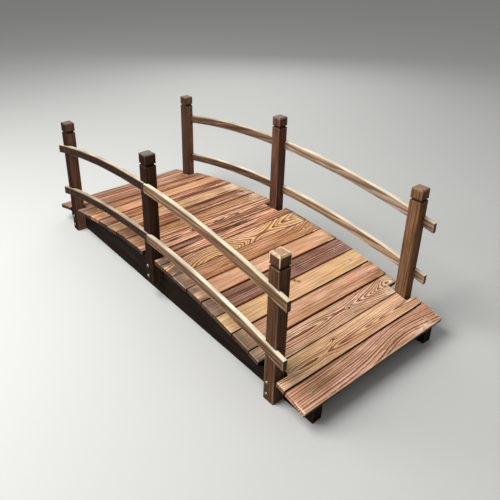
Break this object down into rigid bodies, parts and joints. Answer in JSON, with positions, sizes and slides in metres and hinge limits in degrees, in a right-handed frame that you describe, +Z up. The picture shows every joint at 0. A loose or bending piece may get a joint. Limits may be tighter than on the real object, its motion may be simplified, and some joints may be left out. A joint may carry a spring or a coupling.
{
  "type": "moon bridge",
  "caption": "Timber moon bridge: arched plank deck on two side beams, square posts and curved double rails on both sides.",
  "frame": {"origin": "on the ground below the middle of the crown, at the centre of the bounding box's base", "axes": "+X runs along the bridge to its near end, +Y across to its right side as seen from the near end, +Z up"},
  "size_m": [1.9344, 0.818, 0.706],
  "materials": {
    "deck_red": "torched softwood with raised grain, oiled",
    "deck_yellow": "torched softwood with raised grain, oiled",
    "deck_orange": "torched softwood with raised grain, oiled",
    "deck_dark": "torched softwood with raised grain, oiled",
    "deck_pink": "torched softwood with raised grain, oiled",
    "beam_wood": "dark torched softwood, sawn faces",
    "post_wood": "dark torched softwood with worn pale edges",
    "rail_wood": "torched softwood, pale weathered top edge"
  },
  "bodies": {
    "root": {"deck_board_01": "deck_red", "deck_board_02": "deck_yellow", "deck_board_03": "deck_orange", "deck_board_04": "deck_orange", "deck_board_05": "deck_yellow", "deck_board_06": "deck_dark", "deck_board_07": "deck_pink", "deck_board_08": "deck_orange", "deck_board_09": "deck_yellow", "deck_board_10": "deck_orange", "deck_board_11": "deck_pink", "deck_board_12": "deck_orange", "deck_board_13": "deck_red", "deck_board_14": "deck_yellow", "deck_board_15": "deck_dark", "deck_board_16": "deck_orange", "deck_board_17": "deck_orange", "deck_board_18": "deck_red", "deck_board_19": "deck_orange", "deck_board_20": "deck_red", "beam_left": "beam_wood", "beam_right": "beam_wood", "post_left_near": "post_wood", "post_left_middle": "post_wood", "post_left_far": "post_wood", "post_right_near": "post_wood", "post_right_middle": "post_wood", "post_right_far": "post_wood", "handrail_left_near": "rail_wood", "handrail_left_far": "rail_wood", "handrail_right_near": "rail_wood", "handrail_right_far": "rail_wood", "lower_rail_left_near": "rail_wood", "lower_rail_left_far": "rail_wood", "lower_rail_right_near": "rail_wood", "lower_rail_right_far": "rail_wood"}
  },
  "joints": []
}
